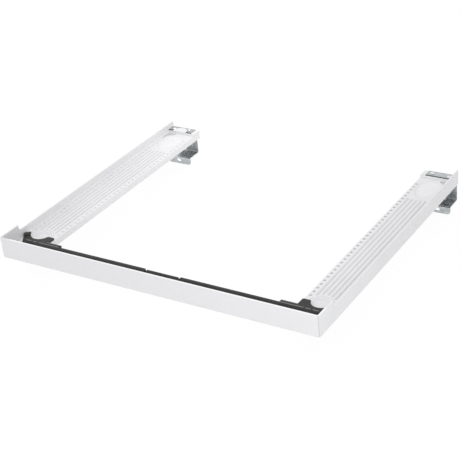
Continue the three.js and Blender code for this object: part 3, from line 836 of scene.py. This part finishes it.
# the outer wall, swept up to the cheek at its front end
def addWall(mesh):
    shape = railShape
    radius = shape["sweepRadius"] * mm
    top = shape["wallHeight"] * mm
    low = shape["wallBottom"] * mm
    centre = (wallInside, wallFront + radius, top + radius)
    places = [(wallFront + radius, top), (railBack, top), (railBack, low), (wallFront, low)]
    verts = addChain(mesh, [(wallInside, y, z) for y, z in places])
    tip = addArc(mesh, verts[0], centre, (1, 0, 0), -math.radians(shape["sweepTurn"]))
    shoulder = mesh.verts.new((wallInside, wallFront, tip.co.z))
    mesh.edges.new((tip, shoulder))
    mesh.edges.new((shoulder, verts[-1]))
    addExtruded(mesh, mergedLoop(mesh), (shape["wallThickness"] * mm, 0, 0))
    edges = [
        edge for edge in sharpEdges(mesh)
        if min(vert.co.y for vert in edge.verts) > wallFront + radius - slack
    ]
    roundBetween(mesh, edges, shape["wallEdge"] * mm, meshing["rimSteps"])


# a small fillet where the deck meets the outer wall
def addFillet(mesh):
    radius = railShape["filletRadius"] * mm
    start = wallFront + railShape["filletLead"] * mm
    side = wallInside - radius
    top = deckZ + radius
    under = deckZ - overlap / 2
    places = [
        (side, deckZ), (side, under), (wallMiddle, under), (wallMiddle, top), (wallInside, top),
    ]
    verts = addChain(mesh, [(x, start, z) for x, z in places])
    addArc(mesh, verts[0], (side, start, top), (0, 1, 0), -math.pi / 2)
    addExtruded(mesh, mergedLoop(mesh), (0, landFront + overlap - start, 0))


# the raised back end: a lip in front of an open slit, a shoulder and the plate under the bracket
def addLand(mesh, withTongue):
    shape = railShape
    lipBack = landFront + shape["lipWidth"] * mm
    plateFront = lipBack + shape["slitWidth"] * mm
    shoulderX = railInner + shape["shoulder"] * mm
    lipTop = shape["lipHeight"] * mm
    under = deckZ - overlap
    edge = shape["landEdge"]
    addBlock(mesh, (railInner, landFront, under), (wallMiddle, lipBack, lipTop), edge)
    addBlock(mesh, (railInner, lipBack - overlap, under), (shoulderX, railBack, lipTop), edge)
    top = shape["landHeight"] * mm
    chamfer = shape["landChamfer"] * mm
    places = [
        (plateFront, under), (railBack, under), (railBack, top - chamfer),
        (railBack - chamfer, top), (plateFront, top),
    ]
    left = shoulderX - overlap / 2
    edges = addLoop(mesh, [(left, y, z) for y, z in places])
    addExtruded(mesh, edges, (wallMiddle - left, 0, 0))
    if withTongue:
        addTongue(mesh, lipBack)


# half round, over the middle of the bracket's plate
def addTongue(mesh, lipBack):
    shape = railShape
    radius = shape["tongueRadius"] * mm
    inset = shape["tongueInset"] * mm
    x = footX + shape["tongueOffset"] * mm
    low, high = shape["tongueLow"] * mm, shape["tongueHigh"] * mm
    left, right = x - radius, x + radius
    ends = [(right, lipBack), (right, landFront), (left, landFront), (left, lipBack)]
    verts = addChain(mesh, [(x, y, low) for x, y in ends])
    addArc(mesh, verts[0], (x, lipBack, low), (0, 0, 1), math.pi, shape["tongueSteps"])
    addExtruded(mesh, mergedLoop(mesh), (0, 0, high - low), shape["landEdge"])
    corner = (left + inset, landFront + inset, deckZ)
    addBlock(mesh, corner, (right - inset, lipBack + inset, high - inset))


# ribs across and along the underside, shorter under the foot recess and the dish
def addRibs(mesh):
    shape = railShape
    edge = shape["ribEdge"]
    half = shape["ribThickness"] / 2 * mm
    bottom = shape["ribBottom"] * mm
    full = deckZ - (shape["skin"] - shape["ribOverlap"]) * mm
    sunk = full - shape["footRings"][-1][1] * mm
    footReach = shape["footRings"][0][0] * mm + half
    dishFront = dishY - shape["dishRings"][0][0] * shape["dishStretch"] * mm - half
    dishBack = dishY + shape["dishRings"][0][0] * mm + half
    hollows = [(footY - footReach, footY + footReach), (dishFront, dishBack)]
    y = dimpleRow()[0] - shape["dimplePitch"] / 2 * mm
    while y < landFront:
        top = sunk if any(a < y < b for a, b in hollows) else full
        low = (railInner + overlap, y - half, bottom)
        addBlock(mesh, low, (wallMiddle, y + half, top), edge)
        y += shape["ribPitch"] * mm
    stops = [railFront + overlap, hollows[0][0], hollows[0][1], dishFront, dishBack, landFront]
    for x in (footX - shape["groovePitch"] * mm, footX + shape["groovePitch"] * mm):
        for i, (start, end) in enumerate(zip(stops, stops[1:])):
            top = full if i % 2 == 0 else sunk
            addBlock(mesh, (x - half, start, bottom), (x + half, end, top), edge)


# bosses round the screws and seats for the two pads
def addBosses(mesh):
    shape = railShape
    under = deckZ - shape["skin"] / 2 * mm
    radius = shape["bossRadius"] * mm
    screws = [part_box("right_bracket_screw_" + place) for place in ("inner", "outer")]
    screws += [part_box("right_panel_screw_" + place) for place in ("inner", "outer")]
    for low, high in screws:
        middle = (low + high) / 2
        bottom = (shape["bossBottom"] if middle.y > 0 else shape["flangeClearance"]) * mm
        place = Matrix.Translation((middle.x, middle.y, (bottom + under) / 2))
        bmesh.ops.create_cone(
            mesh, cap_ends=True, segments=shape["bossSteps"], radius1=radius,
            radius2=radius * shape["bossTaper"], depth=under - bottom, matrix=place,
        )
    margin = shape["seatMargin"] * mm
    bottom = shape["seatBottom"] * mm
    top = bottom + shape["seatThickness"] * mm
    for pad in ("right_front_pad", "right_rear_pad"):
        low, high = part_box(pad)
        corner = (railInner + overlap, low.y - margin, bottom)
        addBlock(mesh, corner, (wallMiddle, high.y + margin, top), shape["ribEdge"])


def makeRail(side):
    rail = makeTray(side)
    blocks = bmesh.new()
    addWall(blocks)
    addFillet(blocks)
    addLand(blocks, side == "left")
    addRibs(blocks)
    addBosses(blocks)
    closeShape(blocks, side == "left", meshing["blockWeld"])
    joinInto(rail, blocks)
    sharpenByAngle(rail)
    sharpenRoundFlats(rail)
    node = side + "_rail"
    addPiece(node + "_moulding", rail, whiteRail, node)


for side in sides:
    makeRail(side)
print("rails made")

# pieces whose shape is the frame's own, with their edges rounded
roundings = {
    "panel": {"width": 0.4, "segments": 3},
    "retainer": {"width": 0.6, "segments": 3},
    "bracket": {"width": 0.25, "segments": 2},
    "screw": {"width": 0.12, "segments": 2},
    "pad": {"width": 0.25, "segments": 2},
}
# the rounded front corners of the panel, with painted shade
panelCorner = {"fromX": 296.2, "toY": -16.8, "paintedShading": -0.25}
# low beads on the foot retainers, with a painted highlight, drawn on the right: ends in X, edges
# in Y, underside and top
retainerBeads = {
    "blocks": [
        (209.6, 251.0, 39.2, 41.3, 16.0, 16.9), (253.8, 263.4, 39.2, 41.3, 16.0, 16.9),
        (266.4, 277.2, 39.2, 41.3, 16.0, 16.9), (209.6, 239.0, 46.4, 48.3, 14.8, 15.6),
    ],
    "setback": 19.0,  # these distances in Y are counted from the panel's front face
    # the beads' painted highlight
    "paintedShading": 5.0,
}
# upright end of the outer horn, drawn on the right: middle, length and depth, underside and top
hornEnd = {
    "middle": (288.7, 57.4),
    "size": (12.7, 5.0),
    "height": (15.8, 18.6),
    "turn": -38.8,
    "corner": 1.6,
    "steps": 6,
    # painted light on the foot of the horn end
    "footPaintedLight": 5.0,
}


def copyNode(node):
    mesh = bmesh.new()
    mesh.from_mesh(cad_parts[node].data)
    bmesh.ops.remove_doubles(mesh, verts=mesh.verts, dist=meshing["weld"] * mm)
    flat = math.radians(meshing["flatAngle"])
    bmesh.ops.dissolve_limit(mesh, angle_limit=flat, verts=mesh.verts, edges=mesh.edges)
    return mesh


def addCornerShade(mesh):
    fromX, toY = panelCorner["fromX"] * mm, panelCorner["toY"] * mm
    verts = [vert for vert in mesh.verts if abs(vert.co.x) > fromX and vert.co.y < toY]
    setPaintedShading(mesh, verts, panelCorner["paintedShading"])


# takes what was drawn on the right over to the left
def mirrorOver(mesh, verts):
    bmesh.ops.scale(mesh, vec=(-1, 1, 1), verts=verts)
    bmesh.ops.recalc_face_normals(mesh, faces=facesOf(verts))


def addBeads(mesh, side):
    setback = retainerBeads["setback"]
    verts = []
    for x0, x1, y0, y1, z0, z1 in retainerBeads["blocks"]:
        low = (x0 * mm, (y0 - setback) * mm, z0 * mm)
        high = (x1 * mm, (y1 - setback) * mm, z1 * mm)
        verts += addBlock(mesh, low, high)
    if side == "left":
        mirrorOver(mesh, verts)
    setPaintedShading(mesh, verts, retainerBeads["paintedShading"])


def addHornEnd(mesh, side):
    width, depth = [size * mm / 2 for size in hornEnd["size"]]
    low, high = [height * mm for height in hornEnd["height"]]
    x, y = hornEnd["middle"]
    verts = addBlock(mesh, (-width, -depth, low), (width, depth, high))
    turn = Matrix.Rotation(math.radians(hornEnd["turn"]), 4, "Z")
    place = Matrix.Translation((x * mm, (y - retainerBeads["setback"]) * mm, 0))
    bmesh.ops.transform(mesh, matrix=place @ turn, verts=verts)
    if side == "left":
        mirrorOver(mesh, verts)
    middle = (low + high) / 2
    setPaintedShading(mesh, [vert for vert in verts if vert.co.z < middle], hornEnd["footPaintedLight"])
    upright = [
        edge for edge in edgesOf(verts)
        if (edge.verts[0].co.z < middle) != (edge.verts[1].co.z < middle)
    ]
    roundBetween(mesh, upright, hornEnd["corner"] * mm, hornEnd["steps"])


def roundEdges(piece, width, segments):
    bevel = piece.modifiers.new("roundedEdges", "BEVEL")
    bevel.width = width
    bevel.segments = segments
    bevel.limit_method = "ANGLE"
    bevel.angle_limit = crease
    bevel.use_clamp_overlap = False
    bevel.harden_normals = True


def makeRounded(node, kind, material):
    size = roundings[kind]
    mesh = copyNode(node)
    mesh.verts.layers.float.new("paintedShading")
    if kind == "panel":
        addCornerShade(mesh)
    if node.endswith("_foot_retainer"):
        side = node.split("_")[0]
        addBeads(mesh, side)
        addHornEnd(mesh, side)
    sharpenByAngle(mesh)
    piece = addPiece(node + "_piece", mesh, material, node)
    roundEdges(piece, size["width"] * mm, size["segments"])


makeRounded("front_panel", "panel", whitePanel)
makeRounded("retainer_joiner", "retainer", blackPlastic)
for side in sides:
    makeRounded(side + "_foot_retainer", "retainer", blackPlastic)
    makeRounded(side + "_rear_bracket", "bracket", galvanised)
    for place in ("inner", "outer"):
        makeRounded(side + "_bracket_screw_" + place, "screw", zinc)
        makeRounded(side + "_panel_screw_" + place, "screw", zinc)
    for place in ("front", "rear"):
        makeRounded(side + "_" + place + "_pad", "pad", foam)
print("pieces made")

# floor, world and lamps
studio = {
    "floorDrop": 0.0002,
    "floorSize": 60.0,
    "floorColour": (0.9, 0.9, 0.9),
    "floorGlow": 0.94,  # share of the floor's white that doesn't come from the lamps
    "glowStrength": 1.012,
    "ambient": 0.87,
    "lamps": {
        "keyLamp": {
            "power": 5.8, "size": 0.8, "place": (0.85, -1.0, 1.0), "aim": (0, 0.25, 0),
            "spread": 180.0,
        },
        "fillLamp": {
            "power": 3.7, "size": 1.2, "place": (-1.5, 0.5, 1.2), "aim": (0, 0.25, 0),
            "spread": 180.0,
        },
        "rearLamp": {  # a small one over the back of the left rail
            "power": 0.074, "size": 0.15, "place": (-0.02, 0.5, 0.5), "aim": (-0.27, 0.46, 0.01),
            "spread": 70.0,
        },
    },
}


# 1 for the rays that show the plain backdrop, in the picture and in what shines
def plainRay(tree):
    path = tree.nodes.new("ShaderNodeLightPath")
    seen = addMath(tree, "MAXIMUM", path.outputs["Is Camera Ray"], path.outputs["Is Glossy Ray"])
    return addMath(tree, "MAXIMUM", seen, path.outputs["Is Transmission Ray"])


def makeFloor():
    material = bpy.data.materials.new("paleFloor")
    tree, output = clearTree(material, "ShaderNodeOutputMaterial")
    diffuse = tree.nodes.new("ShaderNodeBsdfDiffuse")
    diffuse.inputs["Color"].default_value = (*studio["floorColour"], 1)
    glow = tree.nodes.new("ShaderNodeEmission")
    glow.inputs["Color"].default_value = (1, 1, 1, 1)
    glow.inputs["Strength"].default_value = studio["glowStrength"]
    share = addMath(tree, "MULTIPLY", plainRay(tree), studio["floorGlow"])
    mix = tree.nodes.new("ShaderNodeMixShader")
    tree.links.new(share, mix.inputs["Fac"])
    tree.links.new(diffuse.outputs["BSDF"], mix.inputs[1])
    tree.links.new(glow.outputs["Emission"], mix.inputs[2])
    tree.links.new(mix.outputs["Shader"], output.inputs["Surface"])
    mesh = bmesh.new()
    bmesh.ops.create_grid(mesh, x_segments=1, y_segments=1, size=studio["floorSize"] / 2)
    level = cadBounds[0][2] - studio["floorDrop"]
    bmesh.ops.translate(mesh, verts=mesh.verts, vec=(0, 0, level))
    data = bpy.data.meshes.new("floor")
    mesh.to_mesh(data)
    mesh.free()
    data.materials.append(material)
    floor = bpy.data.objects.new("floor", data)
    scene.collection.objects.link(floor)


def makeWorld():
    scene.world = bpy.data.worlds.new("studioWorld")
    tree, output = clearTree(scene.world, "ShaderNodeOutputWorld")
    background = tree.nodes.new("ShaderNodeBackground")
    background.inputs["Color"].default_value = (1, 1, 1, 1)
    strength = tree.nodes.new("ShaderNodeMapRange")
    strength.inputs["To Min"].default_value = studio["ambient"]
    strength.inputs["To Max"].default_value = 1
    tree.links.new(plainRay(tree), strength.inputs["Value"])
    tree.links.new(strength.outputs["Result"], background.inputs["Strength"])
    tree.links.new(background.outputs["Background"], output.inputs["Surface"])


def makeLamp(name, light):
    data = bpy.data.lights.new(name, "AREA")
    data.energy = light["power"]
    data.size = light["size"]
    data.spread = math.radians(light["spread"])
    lamp = bpy.data.objects.new(name, data)
    scene.collection.objects.link(lamp)
    aim = Vector(light["aim"]) - Vector(light["place"])
    turn = aim.to_track_quat("-Z", "Y").to_matrix()
    lamp.matrix_world = Matrix.Translation(light["place"]) @ turn.to_4x4()


makeFloor()
makeWorld()
for name, light in studio["lamps"].items():
    makeLamp(name, light)
scene.view_settings.view_transform = "Standard"
print("studio made")
